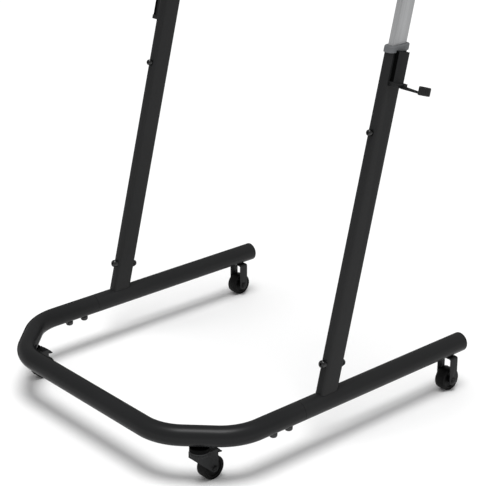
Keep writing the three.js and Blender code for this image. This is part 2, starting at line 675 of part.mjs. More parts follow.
function buildFrontCaster(root, side, sign) {
  const race = mesh(root, `swivel_race_${side}`, 'black_steel', swivelRace());
  race.position.set(sign * SWIVEL_X, SWIVEL_Y, TUBE_Z - TUBE_R - GAP);
  const caster = new THREE.Group();
  caster.position.set(sign * SWIVEL_X, SWIVEL_Y + TRAIL, WHEEL_Z);
  root.add(caster);
  mesh(caster, `front_fork_${side}`, 'black_steel', frontFork());
  mesh(caster, `front_axle_${side}`, 'black_steel', axle(FRONT_FORK_HALF));
  mesh(caster, `front_wheel_${side}`, 'wheel_black', wheel(WHEEL_HALF + 0.3));
  mesh(caster, `brake_pedal_${side}`, 'black_steel', brakePedal());
}

// ---- assembly ----
const stand = new THREE.Group();
buildBase(stand);
for (const [side, sign] of SIDES) {
  const frame = postFrame(stand, sign);
  buildPost(frame, side, sign);
  buildInnerTube(frame, side);
  buildBrake(frame, side, sign);
  buildRearCaster(stand, side, sign);
  buildFrontCaster(stand, side, sign);
}
buildHead(stand);

const bounds = new THREE.Box3().setFromObject(stand, true);
const middle = bounds.getCenter(new THREE.Vector3());
stand.position.set(-middle.x, -middle.y, -bounds.min.z);

const group = new THREE.Group();
group.add(stand);
export default group;
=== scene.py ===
"""Looks of a rolling stand with two leaning telescopic posts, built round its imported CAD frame.

Shapes are drawn in millimetres in the stand's own working frame and placed in metres from the boxes of the
CAD nodes. In that frame X = 0 is the plane of symmetry, Y = 0 the axis of the front bar and Z = 0 the floor.
"""

import json
import math

import bmesh
import bpy
from mathutils import Matrix, Vector


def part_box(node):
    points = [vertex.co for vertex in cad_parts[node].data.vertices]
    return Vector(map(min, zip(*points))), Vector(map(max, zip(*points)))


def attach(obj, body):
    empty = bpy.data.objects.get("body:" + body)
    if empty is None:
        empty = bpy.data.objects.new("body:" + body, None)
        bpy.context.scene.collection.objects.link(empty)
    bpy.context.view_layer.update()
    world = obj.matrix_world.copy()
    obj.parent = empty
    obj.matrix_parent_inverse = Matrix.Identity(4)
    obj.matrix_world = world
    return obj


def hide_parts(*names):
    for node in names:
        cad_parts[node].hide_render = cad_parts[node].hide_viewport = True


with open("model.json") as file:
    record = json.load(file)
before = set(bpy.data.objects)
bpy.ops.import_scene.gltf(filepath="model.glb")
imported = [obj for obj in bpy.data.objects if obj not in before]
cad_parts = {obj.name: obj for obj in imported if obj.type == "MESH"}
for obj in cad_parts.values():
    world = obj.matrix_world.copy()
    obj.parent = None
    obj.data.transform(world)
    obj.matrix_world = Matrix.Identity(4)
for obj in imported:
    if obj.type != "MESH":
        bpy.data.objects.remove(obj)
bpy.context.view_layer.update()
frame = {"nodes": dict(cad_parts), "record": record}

# ---- driving dimensions, in millimetres ----
MM = 0.001

# base
TUBE_R = 22.5
TUBE_WALL = 2.0
TUBE_Z = 108.2
RAIL_X = 369.9
CHAMFER = 120.5
BEND_R = 120.0
SEAM_Y = 287.4
SEAM_GAP = 0.5
RAIL_END_Y = 807.6
CAP_T = 2.8

# posts and head; sections are width, depth and corner radius
POST_Y = 363.1
LEAN = math.radians(14.03)
POST = (25.0, 50.0, 8.5)
POST_WALL = 2.0
INNER = (16.0, 40.0, 2.5)
INNER_WALL = 1.5
INNER_LOW = 365.0
COLLAR_LOW_Z = 855.7
COLLAR_TOP_Z = 869.6
HEAD_Z = 1080.0
HEAD_PLATE = (84.0, 160.0, 10.0)
HEAD_INBOARD = 20.0  # shift of a head plate towards the middle
PLATE_T = 4.0
CROSSBAR = (50.0, 25.0, 3.5)
CROSSBAR_INBOARD = 35.0  # crossbar bolts from the posts' planes
CROSSBAR_BOLT_Y = (-13, 13)

# fasteners; heads are radius and height
BOLT_R = 4.0
JOINT_BOLT_Y = (212.6, 256.8)
JOINT_BOLT_HEAD = (9.0, 11.0)
POST_BOLT_HEAD = (8.8, 10.1)
POST_WASHER_T = 1.0
POST_NUT_R = 9.0
GUIDE_SCREW_HEAD = (7.0, 10.5)
CROSSBAR_BOLT_HEAD = (5.2, 3.4)

# heights along the post, from the rail's axis
LOWER_BOLT = 85.0
GUIDE_SCREW = 594.0
SHOE_S = 736.0
HOUSING_S = (702.0, 772.0)
LEDGE_S = (697.5, 707.0)

# brake, across and along the post's section
HOUSING_NEAR = 12.8
HOUSING_OUT = {"left": 36.5, "right": 25.5}
HOUSING_Y = (-14.5, 16.5)
HOUSING_WALL = 1.5
LEDGE_OUT = 36.5
LEDGE_FRONT = -16.0
# Painted shade: where the near-black sheet on each housing's front lies, across the post's section.
SHADE_SHEET_SPAN = {"left": (26.6, 34.6), "right": (13.3, 22.8)}
LEVER_Y = 1.85
LEVER_SLOT = 1.9  # half width
PIVOT = (27.0, 701.0)

# casters
WHEEL_R = 27.0
WHEEL_HALF = 12.8
AXLE_HOLE_R = 4.3
FORK_T = 2.5
REAR_AXLE_Y = 764.5
REAR_FORK_HALF = 20.5
REAR_FORK_LEG = 12.0  # half width of a leg
REAR_FORK_BACK = 0.5  # the legs' middle behind the axle
SWIVEL_X = RAIL_X - CHAMFER / 2
SWIVEL_Y = CHAMFER / 2
TRAIL = 28.8
FRONT_FORK_HALF = 15.8
FRONT_FORK_NOSE = 17.0  # front wall ahead of the swivel axis
FRONT_KNEE_R = 9.2
RACE_H = 13.5
RACE_R = 21.9
CUP_R = 21.5
CUP_H = 2.5
KINGPIN_HOLE_R = 5.3
PEDAL_PIN = (74.0, 43.5)  # behind the front bar's axis and below it

ROUND = 64  # sides of the large round tubes
SIDES = (("left", -1), ("right", 1))


def mid(node):
    low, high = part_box(node)
    return (low + high) / 2


BASE = Matrix.Translation((
    mid("crossbar").x,
    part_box("rail_cap_left")[1].y - RAIL_END_Y * MM,
    mid("side_rail_left").z - TUBE_Z * MM,
)) @ Matrix.Scale(MM, 4)


def at(x, y, z):
    return BASE @ Matrix.Translation((x, y, z))


def shift(x=0.0, y=0.0, z=0.0):
    return Matrix.Translation((x, y, z))


def mirror(sign):
    """Turns a shape drawn for the right side into the left one when the sign is -1."""
    return Matrix.Diagonal((sign, 1, 1, 1))


def turn_x(angle):
    return Matrix.Rotation(angle, 4, "X")


def post_place(sign):
    """A post's own frame: Z runs up the post, Y points rearwards and X outboard."""
    return at(sign * RAIL_X, POST_Y, TUBE_Z) @ turn_x(-LEAN) @ mirror(sign)


# ---- outlines ----
def circle(radius, sides=ROUND):
    turn = 2 * math.pi / sides
    return [(radius * math.cos(turn * i), radius * math.sin(turn * i)) for i in range(sides)]


def arc(radius, start, end, steps):
    """Points of an arc about the origin, from one angle in degrees to the other."""
    turn = [math.radians(start + (end - start) * i / steps) for i in range(steps + 1)]
    return [(radius * math.cos(a), radius * math.sin(a)) for a in turn]


def rounded(width, depth, radius, steps=8):
    radius = max(radius, 0.05)
    points = []
    for sx, sy, start in ((1, 1, 0), (-1, 1, 90), (-1, -1, 180), (1, -1, 270)):
        for i in range(steps + 1):
            a = math.radians(start + 90 * i / steps)
            points.append((sx * (width / 2 - radius) + radius * math.cos(a),
                           sy * (depth / 2 - radius) + radius * math.sin(a)))
    return points


def inset(section, k, steps=8):
    return rounded(section[0] - 2 * k, section[1] - 2 * k, section[2] - k, steps)


def fillet(corners, radius, steps=5):
    """The polygon with each corner rounded to the radius, or less where its sides are short."""
    done = []
    n = len(corners)
    for i, corner in enumerate(corners):
        here = Vector(corner)
        to_last = Vector(corners[i - 1]) - here
        to_next = Vector(corners[(i + 1) % n]) - here
        half = to_last.angle(to_next) / 2
        if math.degrees(half) > 88:
            done.append(tuple(here))
            continue
        back = min(radius / math.tan(half), 0.48 * to_last.length, 0.48 * to_next.length)
        r = back * math.tan(half)
        a = here + to_last.normalized() * back
        b = here + to_next.normalized() * back
        centre = here + (to_last.normalized() + to_next.normalized()).normalized() * (r / math.sin(half))
        for k in range(steps + 1):
            t = k / steps
            chord = a.lerp(b, t) - centre
            done.append(tuple(centre + chord.normalized() * r))
    return done


def hexagon(radius, sides=36):
    """A hexagon across corners 2 x radius, as a ring with as many points as a circle."""
    points = []
    for i in range(sides):
        a = 2 * math.pi * i / sides
        r = radius * math.cos(math.pi / 6) / math.cos((a % (math.pi / 3)) - math.pi / 6)
        points.append((r * math.cos(a), r * math.sin(a)))
    return points


# ---- meshes ----
def loft(loops, closed=False):
    """Faces between loops of points; the ends are capped unless the last loop is joined to the first."""
    bm = bmesh.new()
    rings = [[bm.verts.new(p) for p in loop] for loop in loops]
    count = len(rings[0])
    pairs = list(zip(rings, rings[1:]))
    if closed:
        pairs.append((rings[-1], rings[0]))
    for a, b in pairs:
        for i in range(count):
            j = (i + 1) % count
            bm.faces.new((a[i], a[j], b[j], b[i]))
    if not closed:
        bm.faces.new(rings[0])
        bm.faces.new(rings[-1])
    return bm


def stack(levels, closed=False):
    """Loft of flat outlines, each at its own height."""
    return loft([[(x, y, h) for x, y in outline] for outline, h in levels], closed)


def revolve(profile, sides=ROUND, closed=False):
    """A turned form about Z from [radius, height] points; an open profile starts and ends on the axis."""
    bm = bmesh.new()
    rings = []
    for r, h in profile:
        if r < 1e-6:
            rings.append([bm.verts.new((0, 0, h))] * sides)
        else:
            rings.append([bm.verts.new((x, y, h)) for x, y in circle(r, sides)])
    pairs = list(zip(rings, rings[1:]))
    if closed:
        pairs.append((rings[-1], rings[0]))
    for a, b in pairs:
        for i in range(sides):
            j = (i + 1) % sides
            corners = list(dict.fromkeys((a[i], a[j], b[j], b[i])))
            if len(corners) > 2:
                bm.faces.new(corners)
    return bm


def in_order(bm):
    """The same mesh, its vertices and faces ordered by their places, so that every run gives one result."""
    verts = sorted(bm.verts, key=lambda v: tuple(round(c, 4) for c in v.co))
    number = {v: i for i, v in enumerate(verts)}
    rings = []
    for face in bm.faces:
        ring = [number[v] for v in face.verts]
        first = ring.index(min(ring))
        rings.append(ring[first:] + ring[:first])
    fresh = bmesh.new()
    made = [fresh.verts.new(v.co) for v in verts]
    distinct = {frozenset(ring): ring for ring in rings}
    for ring in sorted(distinct.values()):
        fresh.faces.new([made[i] for i in ring])
    bm.free()
    return fresh


def plate(outline, low, high, holes=()):
    """A flat piece along Z with holes right through it."""
    bm = bmesh.new()
    edges = []
    for loop in (outline, *holes):
        verts = [bm.verts.new((x, y, low)) for x, y in loop]
        edges += [bm.edges.new((verts[i - 1], verts[i])) for i in range(len(verts))]
    bmesh.ops.triangle_fill(bm, edges=edges, use_beauty=True, use_dissolve=False)
    made = bmesh.ops.extrude_face_region(bm, geom=bm.faces[:])
    top = [v for v in made["geom"] if isinstance(v, bmesh.types.BMVert)]
    bmesh.ops.translate(bm, verts=top, vec=(0, 0, high - low))
    return in_order(bm)


def moved(bm, matrix):
    bmesh.ops.transform(bm, matrix=matrix, verts=bm.verts)
    return bm


ALONG_X = Matrix(((0, 0, 1, 0), (1, 0, 0, 0), (0, 1, 0, 0), (0, 0, 0, 1)))  # outline (y, z), height x
ALONG_Y = Matrix(((1, 0, 0, 0), (0, 0, 1, 0), (0, 1, 0, 0), (0, 0, 0, 1)))  # outline (x, z), height y
FLIP_Z = Matrix.Diagonal((1, 1, -1, 1))


def block(x0, x1, y0, y1, z0, z1):
    return plate([(x0, y0), (x1, y0), (x1, y1), (x0, y1)], z0, z1)


def merge(*parts):
    """Several bmeshes as one, without joining their surfaces."""
    whole = parts[0]
    for part in parts[1:]:
        data = bpy.data.meshes.new("part")
        part.to_mesh(data)
        part.free()
        whole.from_mesh(data)
        bpy.data.meshes.remove(data)
    return whole


def scratch(bm):
    """A throwaway object that holds the bmesh, with its faces turned outwards."""
    bmesh.ops.recalc_face_normals(bm, faces=bm.faces)
    data = bpy.data.meshes.new("scratch")
    bm.to_mesh(data)
    bm.free()
    made = bpy.data.objects.new("scratch", data)
    bpy.context.scene.collection.objects.link(made)
    return made


def applied(obj):
    """The object's mesh with its modifiers applied, as a bmesh."""
    graph = bpy.context.evaluated_depsgraph_get()
    bm = bmesh.new()
    bm.from_mesh(obj.evaluated_get(graph).to_mesh())
    obj.evaluated_get(graph).to_mesh_clear()
    return in_order(bm)


def boolean(bm, *others, kind="DIFFERENCE"):
    target = scratch(bm)
    tools = [scratch(other) for other in others]
    for tool in tools:
        modifier = target.modifiers.new("cut", "BOOLEAN")
        modifier.operation = kind
        modifier.solver = "EXACT"
        modifier.object = tool
    bpy.context.view_layer.update()
    result = applied(target)
    for obj in (target, *tools):
        data = obj.data
        bpy.data.objects.remove(obj)
        bpy.data.meshes.remove(data)
    return result


def bevelled(bm, width, segments=3, angle=32):
    bmesh.ops.remove_doubles(bm, verts=bm.verts, dist=1e-4)
    bmesh.ops.dissolve_limit(bm, angle_limit=math.radians(0.5), verts=bm.verts, edges=bm.edges)
    target = scratch(bm)
    modifier = target.modifiers.new("bevel", "BEVEL")
    modifier.width = width
    modifier.segments = segments
    modifier.limit_method = "ANGLE"
    modifier.angle_limit = math.radians(angle)
    modifier.miter_outer = "MITER_ARC"
    bpy.context.view_layer.update()
    result = applied(target)
    data = target.data
    bpy.data.objects.remove(target)
    bpy.data.meshes.remove(data)
    return result


MATERIALS = {}


def piece(name, bm, place, body, slot, nodes=(), sharp=34, look=None):
    """The bmesh as a finished piece: placed, smoothed, given its material and put on its body."""
    bmesh.ops.transform(bm, matrix=place, verts=bm.verts)
    bmesh.ops.remove_doubles(bm, verts=bm.verts, dist=1e-7)
    bmesh.ops.recalc_face_normals(bm, faces=bm.faces)
    data = bpy.data.meshes.new(name)
    bm.to_mesh(data)
    bm.free()
    data.polygons.foreach_set("use_smooth", [True] * len(data.polygons))
    data.set_sharp_from_angle(angle=math.radians(sharp))
    data.materials.append(MATERIALS[look or slot])
    obj = bpy.data.objects.new(name, data)
    bpy.context.scene.collection.objects.link(obj)
    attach(obj, body)
    if nodes:
        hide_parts(*nodes)
    return obj


def smooth(node, bm, place, body, slot, look=None):
    """A piece that stands in for one CAD node."""
    return piece(f"{node}_smooth", bm, place, body, slot, [node], look=look)


# ---- materials ----
class Nodes:
    """A short way to write a material's nodes."""

    def __init__(self, name):
        self.material = bpy.data.materials.new(name)
        self.material.use_nodes = True
        self.tree = self.material.node_tree
        self.shader = self.tree.nodes["Principled BSDF"]
        self.place = self.add("ShaderNodeTexCoord").outputs["Object"]

    def add(self, kind, inputs=None, **settings):
        node = self.tree.nodes.new(kind)
        for key, value in settings.items():
            setattr(node, key, value)
        for key, value in (inputs or {}).items():
            self.feed(node.inputs[key], value)
        return node

    def feed(self, socket, value):
        if isinstance(value, bpy.types.NodeSocket):
            self.tree.links.new(value, socket)
        else:
            socket.default_value = value

    def noise(self, scale, detail=2.0, place=None):
        inputs = {"Vector": place or self.place, "Scale": scale, "Detail": detail}
        return self.add("ShaderNodeTexNoise", inputs).outputs["Fac"]

    def spread(self, value, low, high, start=0.3, end=0.7):
        inputs = {"Value": value, "From Min": start, "From Max": end, "To Min": low, "To Max": high}
        return self.add("ShaderNodeMapRange", inputs).outputs["Result"]

    def math(self, operation, a, b):
        return self.add("ShaderNodeMath", {0: a, 1: b}, operation=operation).outputs["Value"]

    def mix(self, factor, a, b):
        node = self.add("ShaderNodeMix", {"Factor": factor}, data_type="RGBA")
        self.feed(node.inputs[6], a)
        self.feed(node.inputs[7], b)
        return node.outputs[2]

    def bump(self, height, distance, strength=1.0, normal=None):
        inputs = {"Height": height, "Distance": distance, "Strength": strength}
        if normal:
            inputs["Normal"] = normal
        return self.add("ShaderNodeBump", inputs).outputs["Normal"]

    def edge_wear_and_highlight(self, start=0.53, end=0.6):
        """High on outer edges, where a finish wears first and where a painted highlight goes."""
        pointed = self.add("ShaderNodeNewGeometry").outputs["Pointiness"]
        return self.spread(pointed, 0.0, 1.0, start, end)

    def grazing_mask(self):
        """High where the surface turns away from the eye, less so where it looks down at the floor; the mask
        for painted shade and for the gloss that fades there.
        """
        facing = self.add("ShaderNodeLayerWeight", {"Blend": 0.5}).outputs["Facing"]
        normal = self.add("ShaderNodeNewGeometry").outputs["Normal"]
        up = self.add("ShaderNodeSeparateXYZ", {"Vector": normal}).outputs["Z"]
        turned_away = self.spread(facing, 0.0, 1.0, 0.15, 0.8)
        not_down = self.spread(up, 0.0, 1.0, -0.75, 0.1)
        return self.math("MULTIPLY", turned_away, not_down)

    def finish(self, **inputs):
        for key, value in inputs.items():
            self.feed(self.shader.inputs[key.replace("_", " ")], value)
        return self.material


def grey(value, tint=0.0):
    """A linear colour from an sRGB value of 0 to 255, slightly blue for a positive tint."""
    v = value / 255
    lin = v / 12.92 if v <= 0.04045 else ((v + 0.055) / 1.055) ** 2.4
    return (lin * (1 - tint), lin, lin * (1 + 1.5 * tint), 1)


def powder_coat(name, shade, rough, peel=1.0, gloss=0.25):
    n = Nodes(name)
    cloud = n.spread(n.noise(7.0, 3.0), 0.0, 1.0)
    fleck = n.spread(n.noise(2600.0, 1.0), 0.0, 1.0, 0.42, 0.62)
    base = n.mix(cloud, grey(shade * 0.94, 0.02), grey(shade * 1.06, 0.03))
    base = n.mix(n.math("MULTIPLY", fleck, 0.35), base, grey(shade * 1.45, 0.02))
    # Lighter outer edges: edge wear and a painted highlight.
    base = n.mix(n.math("MULTIPLY", n.edge_wear_and_highlight(), 0.25), base, grey(shade * 1.9))
    roughness = n.math("ADD", n.spread(n.noise(900.0), -0.05, 0.05), rough)
    grazing_shade_mask = n.grazing_mask()
    # Painted shade: the base colour darkens where the surface turns away from the eye, less where it faces
    # down.
    base = n.mix(n.math("MULTIPLY", grazing_shade_mask, 0.45), base, grey(shade * 0.4))
    sheen = n.math("MULTIPLY", n.spread(grazing_shade_mask, 1.0, 0.0, 0.0, 1.0), gloss)
    fine = n.bump(n.noise(1500.0, 2.0), 0.00007, 0.55 * peel)
    wave = n.bump(n.noise(330.0, 2.0), 0.00012, 0.45 * peel, fine)
    return n.finish(Base_Color=base, Roughness=roughness, Normal=wave, Specular_IOR_Level=sheen)


def moulded(name, shade, rough, tint=0.0, grain=1.0, gloss=0.25):
    n = Nodes(name)
    cloud = n.spread(n.noise(30.0, 4.0), 0.0, 1.0)
    base = n.mix(cloud, grey(shade * 0.93, tint), grey(shade * 1.07, tint))
    # Lighter outer edges: edge wear and a painted highlight.
    base = n.mix(n.math("MULTIPLY", n.edge_wear_and_highlight(), 0.2), base, grey(min(shade * 1.6 + 10, 250), tint))
    cells = n.add("ShaderNodeTexVoronoi", {"Vector": n.place, "Scale": 2200.0}).outputs["Distance"]
    roughness = n.math("ADD", n.spread(n.noise(140.0, 3.0), -0.06, 0.06), rough)
    normal = n.bump(cells, 0.00006, 0.5 * grain)
    return n.finish(Base_Color=base, Roughness=roughness, Normal=normal, Specular_IOR_Level=gloss)


def drawn_metal(name, shade, rough, metallic, lean=0.0):
    """Tube stock with fine draw lines along its length."""
    n = Nodes(name)
    turned_place = n.add("ShaderNodeMapping", {"Vector": n.place, "Rotation": (lean, 0.0, 0.0)}).outputs[0]
    stretched = n.add("ShaderNodeMapping", {"Vector": turned_place, "Scale": (1.0, 1.0, 0.012)}).outputs[0]
    lines = n.noise(1400.0, 3.0, stretched)
    broad = n.noise(160.0, 2.0, stretched)
    base = n.mix(n.spread(broad, 0.0, 1.0), grey(shade * 0.95, 0.01), grey(shade * 1.05, 0.01))
    base = n.mix(n.spread(lines, 0.0, 0.25, 0.4, 0.65), base, grey(shade * 0.82, 0.01))
    roughness = n.math("ADD", n.spread(lines, -0.07, 0.07), rough)
    normal = n.bump(lines, 0.00003, 0.5)
    return n.finish(Base_Color=base, Roughness=roughness, Normal=normal, Metallic=metallic)


def plated(name, shade, rough, metallic=0.85):
    n = Nodes(name)
    spangle = n.add("ShaderNodeTexVoronoi", {"Vector": n.place, "Scale": 420.0}).outputs["Color"]
    base = n.mix(n.spread(spangle, 0.0, 1.0, 0.0, 1.0), grey(shade * 0.9, 0.01), grey(shade * 1.08, 0.01))
    roughness = n.math("ADD", n.spread(n.noise(500.0, 3.0), -0.08, 0.08), rough)
    normal = n.bump(n.noise(1800.0, 2.0), 0.00003, 0.4)
    return n.finish(Base_Color=base, Roughness=roughness, Metallic=metallic, Normal=normal)


MATERIALS.update({
    "powder_coat": powder_coat("powder_coat", 29, 0.34, 1.0, 0.16),
    "brushed_tube": drawn_metal("brushed_tube", 168, 0.42, 0.3, LEAN),
    "grey_plastic": moulded("grey_plastic", 101, 0.55, 0.03),
    "black_plastic": moulded("black_plastic", 26, 0.5),
    "black_steel": powder_coat("black_steel", 27, 0.36, 0.4, 0.16),
    # Painted light: a lighter copy of black steel for the forks and the race band.
    "black_steel_painted_light": powder_coat("black_steel_painted_light", 36, 0.4, 0.5, 0.16),
    "glossy_black": powder_coat("glossy_black", 12, 0.16, 0.15, 0.6),
    # Painted shade: a darker copy of black steel, so the race's sides stay as dark as the shade under the
    # tube.
    "race_black_painted_shade": powder_coat("race_black_painted_shade", 5, 0.5, 0.3, 0.05),
    "wheel_black": moulded("wheel_black", 13, 0.45, 0.0, 0.4, 0.1),
    "zinc": plated("zinc", 150, 0.35),
    # Painted shadow: a near-black matte for the sheet on each housing's front.
    "painted_shadow_black": moulded("painted_shadow_black", 2, 0.9, 0.0, 0.5, 0.05),
})

# ---- the hidden inner pieces keep their CAD shape ----
LOOKS = {row["node"]: row["material_slot"] for row in frame["record"]["subparts"]}
for node_name, obj in frame["nodes"].items():
    obj.data.materials.clear()
    obj.data.materials.append(MATERIALS[LOOKS[node_name]])


# ---- round tubes ----
def bent_stations(bends, steps=18):
    """Points and directions along a level tube that is bent at each inner point."""
    points = [Vector((x, y, TUBE_Z)) for x, y in bends]
    ways = [(b - a).normalized() for a, b in zip(points, points[1:])]
    stations = [(points[0], ways[0])]
    for i in range(1, len(points) - 1):
        before, after = ways[i - 1], ways[i]
        turn = before.angle(after)
        side = 1 if before.cross(after).z > 0 else -1
        inward = Vector((-before.y * side, before.x * side, 0))
        start = points[i] - before * (BEND_R * math.tan(turn / 2))
        centre = start + inward * BEND_R
        for k in range(steps + 1):
            a = turn * k / steps
            point = centre - inward * (BEND_R * math.cos(a)) + before * (BEND_R * math.sin(a))
            stations.append((point, before * math.cos(a) + inward * math.sin(a)))
    stations.append((points[-1], ways[-1]))
    return stations


def hollow(stations, radius, wall, edge=0.5):
    """A tube wall swept along level stations, with a small chamfer at both outer ends."""
    first, last = stations[0], stations[-1]
    outer = [(first, radius - edge, 0), (first, radius, edge)]
    outer += [(s, radius, 0) for s in stations[1:-1]]
    outer += [(last, radius, -edge), (last, radius - edge, 0)]
    inner = [(s, radius - wall, 0) for s in reversed(stations)]
    loops = []
    for (point, way), r, along in outer + inner:
        side = way.cross(Vector((0, 0, 1))).normalized()
        centre = point + way * along
        loops.append([centre + side * a + Vector((0, 0, b)) for a, b in circle(r)])
    return loft(loops, closed=True)


def base_tube(bends):
    return hollow(bent_stations(bends), TUBE_R, TUBE_WALL)


def rail_cap():
    """A plug with a thin face over the end of the rail, drawn from the outer face inwards."""
    return revolve([[0, 0.4], [12, 0.2], [19, 0.5], [21.6, 1.0], [22.3, 1.7], [22.5, 2.5], [20.2, CAP_T],
                    [19.8, 18.5], [17.2, 18.5], [17.2, 3.2], [0, 3.2]])


half_gap = SEAM_GAP / 2
half_front = RAIL_X - CHAMFER
u_shape = [(-RAIL_X, SEAM_Y - half_gap), (-RAIL_X, CHAMFER), (-half_front, 0),
           (half_front, 0), (RAIL_X, CHAMFER), (RAIL_X, SEAM_Y - half_gap)]
smooth("front_tube", base_tube(u_shape), BASE, "base", "powder_coat")
for side, sign in SIDES:
    ends = [(sign * RAIL_X, SEAM_Y + half_gap), (sign * RAIL_X, RAIL_END_Y - CAP_T)]
    smooth(f"side_rail_{side}", base_tube(ends), BASE, "base", "powder_coat")
    rail_end = at(sign * RAIL_X, RAIL_END_Y, TUBE_Z) @ turn_x(math.pi / 2)
    smooth(f"rail_cap_{side}", rail_cap(), rail_end, "base", "black_plastic")


# ---- fasteners ----
def button_bolt(head, shank_r, shank_l, hex_r, depth):
    """Tall rounded head above 0 with a hexagon socket, shank below."""
    head_r, head_h = head
    rise = [(0.96, 0.0), (1.0, 0.05), (1.0, 0.56), (0.985, 0.68), (0.94, 0.79), (0.87, 0.88), (0.77, 0.95),
            (0.65, 0.99), (0.54, 1.0)]
    levels = [(circle(shank_r - 0.5, 36), -shank_l), (circle(shank_r, 36), 0.6 - shank_l)]
    levels.append((circle(shank_r, 36), 0))
    levels += [(circle(head_r * a, 36), head_h * b) for a, b in rise]
    levels += [(hexagon(hex_r + 0.2), head_h), (hexagon(hex_r), head_h - 0.25)]
    levels.append((hexagon(hex_r), head_h - depth))
    return stack(levels)


def dome_nut(across):
    """Hexagon and cap; across is the radius of the hexagon's corners."""
    levels = [(hexagon(across - 0.7), 0), (hexagon(across), 0.6), (hexagon(across), 5.8)]
    levels.append((hexagon(across - 0.6), 6.5))
    dome = ((7.3, 6.6), (7.3, 7.8), (7.0, 9.0), (6.1, 10.2), (4.4, 11.2), (2.2, 11.6))
    return stack(levels + [(circle(r, 36), h) for r, h in dome])


def washer(inner, outer, thick):
    e = 0.25
    profile = [[inner, 0], [outer - e, 0], [outer, e], [outer, thick - e], [outer - e, thick], [inner, thick]]
    return revolve(profile, 40, closed=True)


def post_bolt():
    """Through bolt on its washer, long enough for the whole depth of the post and the nut."""
    bolt = button_bolt(POST_BOLT_HEAD, BOLT_R, POST[1] + 5, 3.4, 3.0)
    return merge(moved(bolt, shift(z=POST_WASHER_T)), washer(AXLE_HOLE_R, 9.4, POST_WASHER_T))


FACE_DOWN = turn_x(math.pi)
FACE_FRONT = turn_x(math.pi / 2)
FACE_REAR = turn_x(-math.pi / 2)
POST_FACE = POST[1] / 2

for side, sign in SIDES:
    for i, y in enumerate(JOINT_BOLT_Y, 1):
        bolt = button_bolt(JOINT_BOLT_HEAD, BOLT_R, 9, 3.4, 3.0)
        under = at(sign * RAIL_X, y, TUBE_Z - TUBE_R + 0.1) @ FACE_DOWN
        smooth(f"joint_bolt_{side}_{i}", bolt, under, "base", "black_steel", "glossy_black")
    post = post_place(sign)
    front = post @ shift(0, -POST_FACE, LOWER_BOLT) @ FACE_FRONT
    smooth(f"post_bolt_{side}", post_bolt(), front, "base", "black_steel", "glossy_black")
    rear = post @ shift(0, POST_FACE + 0.1, LOWER_BOLT) @ FACE_REAR
    smooth(f"post_nut_{side}", dome_nut(POST_NUT_R), rear, "base", "black_steel", "glossy_black")
    screw = button_bolt(GUIDE_SCREW_HEAD, 2, 3.6, 2.6, 2.4)
    front = post @ shift(0, -POST_FACE, GUIDE_SCREW) @ FACE_FRONT
    smooth(f"guide_screw_{side}", screw, front, "base", "black_steel", "glossy_black")


# ---- posts, collars and inner tubes ----
def level(z):
    """Height along the post of a level plane, at a point of its section."""
    return lambda x, y: ((z - TUBE_Z) + y * math.sin(LEAN)) / math.cos(LEAN)


def saddle(gap):
    """Height along the post where it meets the round rail."""
    def s(x, y):
        z = math.sqrt(max((TUBE_R + gap) ** 2 - x * x, 0))
        return (z + y * math.sin(LEAN)) / math.cos(LEAN)
    return s


def flat(s):
    return lambda x, y: s


def raised(height, by):
    return lambda x, y: height(x, y) + by


def shaped(levels):
    """A tube of outlines whose heights are functions of the point."""
    return loft([[(x, y, h(x, y)) for x, y in outline] for outline, h in levels], closed=True)


def outer_post():
    """Post tube, saddled on the rail, with a window for the brake shoe in its outboard wall."""
    foot, top = saddle(0.3), level(COLLAR_LOW_Z)
    wall, edge, full = inset(POST, POST_WALL), inset(POST, 0.4), inset(POST, 0)
    tube = shaped([(edge, foot), (full, raised(foot, 0.4)), (full, raised(top, -0.4)), (edge, top),
                   (wall, top), (wall, foot)])
    return boolean(tube, block(8, 14, LEVER_Y - 7, LEVER_Y + 7, SHOE_S - 8, SHOE_S + 8))


def collar():
    """Rounded rim on the post's end, with a skirt down inside it and a notch for the housing."""
    opening = (16.8, 40.8, 2.9)
    skirt = (20.4, 45.4, 6.2)
    rim = (31.0, 56.0, 11.5)
    under, over = level(COLLAR_LOW_Z + 0.3), level(COLLAR_TOP_Z)
    lowest = flat(level(COLLAR_LOW_Z)(0, 0) - 26)
    ring = shaped([
        (inset(skirt, 0), under),
        (inset(rim, 0.8), under),
        (inset(rim, 0.2), raised(under, 0.3)),
        (inset(rim, 0), raised(under, 0.9)),
        (inset(rim, 0), raised(over, -3.4)),
        (inset(rim, 0.25), raised(over, -2.1)),
        (inset(rim, 1.0), raised(over, -0.9)),
        (inset(rim, 2.2), raised(over, -0.2)),
        (inset(rim, 3.4), over),
        (inset(opening, -1.0), over),
        (inset(opening, -0.3), raised(over, -0.25)),
        (inset(opening, 0), raised(over, -0.9)),
        (inset(opening, 0), lowest),
        (inset(skirt, 0), lowest),
    ])
    return boolean(ring, block(HOUSING_NEAR, 40, -14.8, 16.8, 690, 772.3))


def inner_tube():
    top, low = level(HEAD_Z - PLATE_T - 0.3), INNER_LOW
    bore, edge, full = inset(INNER, INNER_WALL), inset(INNER, 0.3), inset(INNER, 0)
    return shaped([(edge, flat(low)), (full, flat(low + 0.3)), (full, top), (bore, top), (bore, flat(low))])


for side, sign in SIDES:
    post = post_place(sign)
    smooth(f"outer_post_{side}", outer_post(), post, "base", "powder_coat")
    smooth(f"collar_{side}", collar(), post, "base", "grey_plastic")
    smooth(f"inner_tube_{side}", inner_tube(), post, "carriage", "brushed_tube")


# ---- head ----
def head_plate():
    """Level plate with four mounting holes and two for the crossbar."""
    outline = [(x - HEAD_INBOARD, y) for x, y in rounded(*HEAD_PLATE)]
    holes = [[(x + a, y + b) for x, y in circle(3.5, 32)] for a in (12, -50) for b in (-65, 65)]
    holes += [[(x - CROSSBAR_INBOARD, y + b) for x, y in circle(3.3, 32)] for b in CROSSBAR_BOLT_Y]
    return bevelled(plate(outline, 0, PLATE_T, holes), 0.5)


